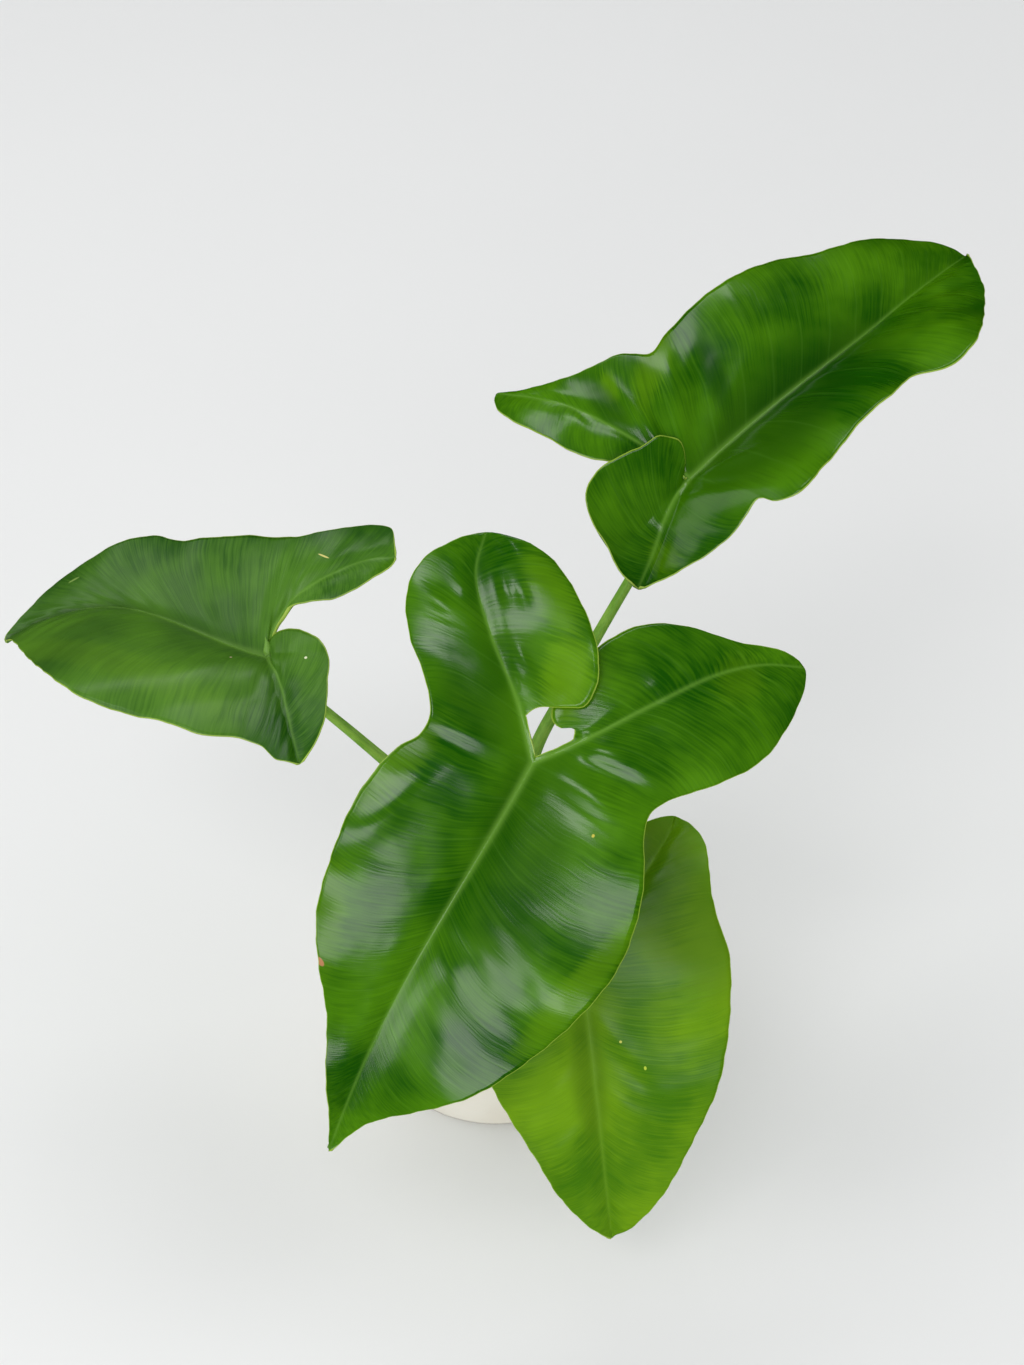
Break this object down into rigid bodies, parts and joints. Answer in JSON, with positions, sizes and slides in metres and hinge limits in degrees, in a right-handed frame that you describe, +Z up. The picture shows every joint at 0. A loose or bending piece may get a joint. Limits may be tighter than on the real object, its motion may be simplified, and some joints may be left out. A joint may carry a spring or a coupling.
{
  "type": "potted thaumatophyllum spruceanum",
  "caption": "Young potted thaumatophyllum with glossy three-lobed leaves on slender stalks, in a dark nursery pot that stands inside a plain pale cover pot.",
  "frame": {"origin": "centre of the cover pot's flat underside", "axes": "+Z up along the pot's axis, the largest leaf hangs over the pot's front towards -Y, +X to the right seen from the front"},
  "size_m": [0.385, 0.2955, 0.3244],
  "materials": {
    "cover_pot": "satin",
    "nursery_pot": "satin",
    "potting_mix": "matte",
    "stem": "satin",
    "stalk": "satin",
    "blade": "gloss",
    "young_blade": "gloss"
  },
  "bodies": {
    "root": {"cover_pot": "cover_pot", "nursery_pot": "nursery_pot", "potting_mix": "potting_mix", "stem": "stem", "stalk_front": "stalk", "blade_front": "blade", "stalk_low": "stalk", "blade_low": "young_blade", "stalk_left": "stalk", "blade_left": "blade", "stalk_back": "stalk", "blade_back": "blade"}
  },
  "joints": []
}
